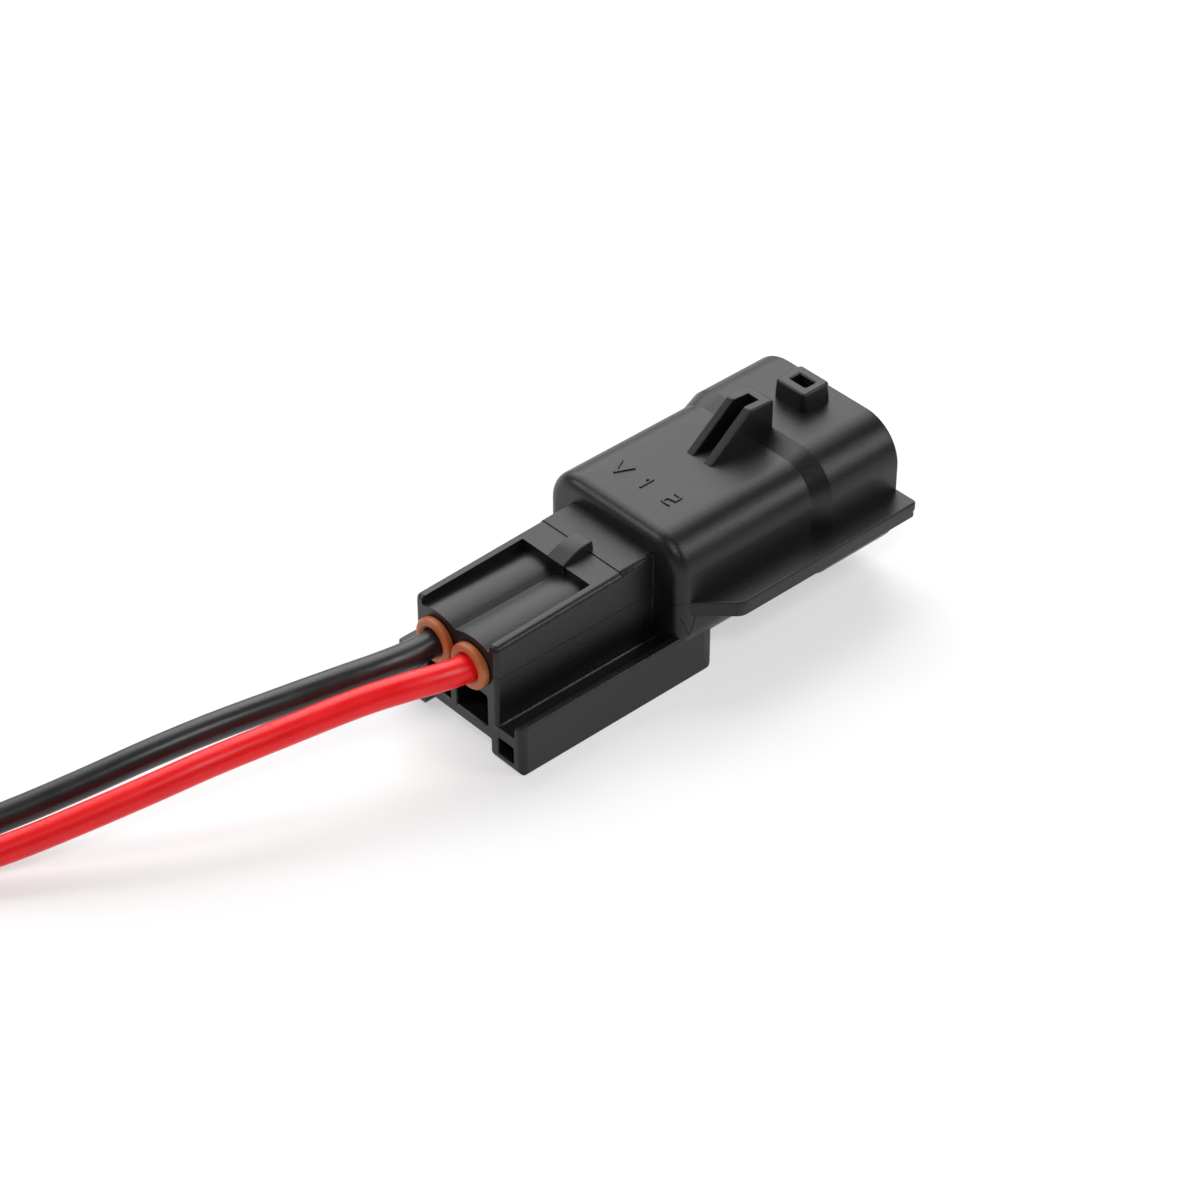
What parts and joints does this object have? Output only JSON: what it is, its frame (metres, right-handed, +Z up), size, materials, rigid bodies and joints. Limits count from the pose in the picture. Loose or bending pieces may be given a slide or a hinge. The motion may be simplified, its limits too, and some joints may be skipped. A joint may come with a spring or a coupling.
{
  "type": "sealed automotive connector",
  "caption": "Sealed wire-to-wire connector half: black shrouded housing with side fins and a latch guard, wire seals, and two insulated leads leaving its rear.",
  "frame": {"origin": "under the middle of the connector without its leads, on the plane of its feet", "axes": "+X from the wire end to the mating mouth, +Y across the two cavities, +Z up"},
  "size_m": [0.1243, 0.0365, 0.0183],
  "materials": {
    "housing": "moulded black, satin",
    "retainer": "moulded light grey",
    "terminal": "tin plated",
    "seal": "satin silicone rubber",
    "conductor": "bare copper strands",
    "red_insulation": "glossy soft insulation",
    "black_insulation": "glossy soft insulation",
    "tie": "black nylon"
  },
  "bodies": {
    "connector": {"housing": "housing", "red_tab_terminal": "terminal", "black_tab_terminal": "terminal", "red_wire_seal": "seal", "black_wire_seal": "seal", "red_conductor": "conductor", "black_conductor": "conductor", "red_lead": "red_insulation", "black_lead": "black_insulation", "lead_coil": "red_insulation", "coil_tie": "tie"},
    "retainer": {"front_retainer": "retainer"}
  },
  "joints": [
    {"name": "retainer_slide", "type": "slide", "parent": "connector", "child": "retainer", "axis": [1, 0, 0], "range_m": [0, 0.0017]}
  ]
}
